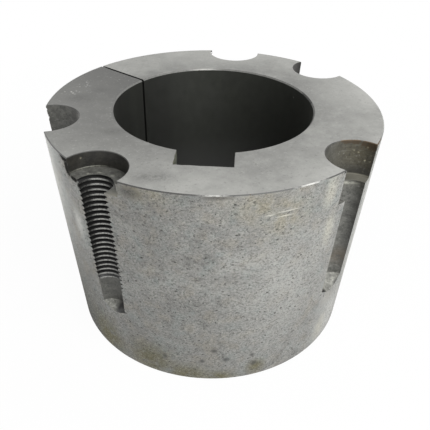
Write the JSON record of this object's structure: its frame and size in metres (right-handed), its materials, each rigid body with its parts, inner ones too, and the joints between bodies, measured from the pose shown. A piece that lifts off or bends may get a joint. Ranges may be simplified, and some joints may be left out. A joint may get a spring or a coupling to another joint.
{
  "type": "split taper bush",
  "caption": "Split taper bush with a keyed bore, a saw cut through one side, and plain and threaded half holes drilled down its tapered outside.",
  "frame": {"origin": "centre of the bore at the face of the small end", "axes": "+Z runs along the bore from the small end to the large end, and -Y points through the middle of the keyway"},
  "size_m": [0.146, 0.1458, 0.1016],
  "materials": {
    "machined_iron": "machined grey iron, satin on the end face and speckled on the taper"
  },
  "bodies": {
    "root": {"taper_bush": "machined_iron"}
  },
  "joints": []
}
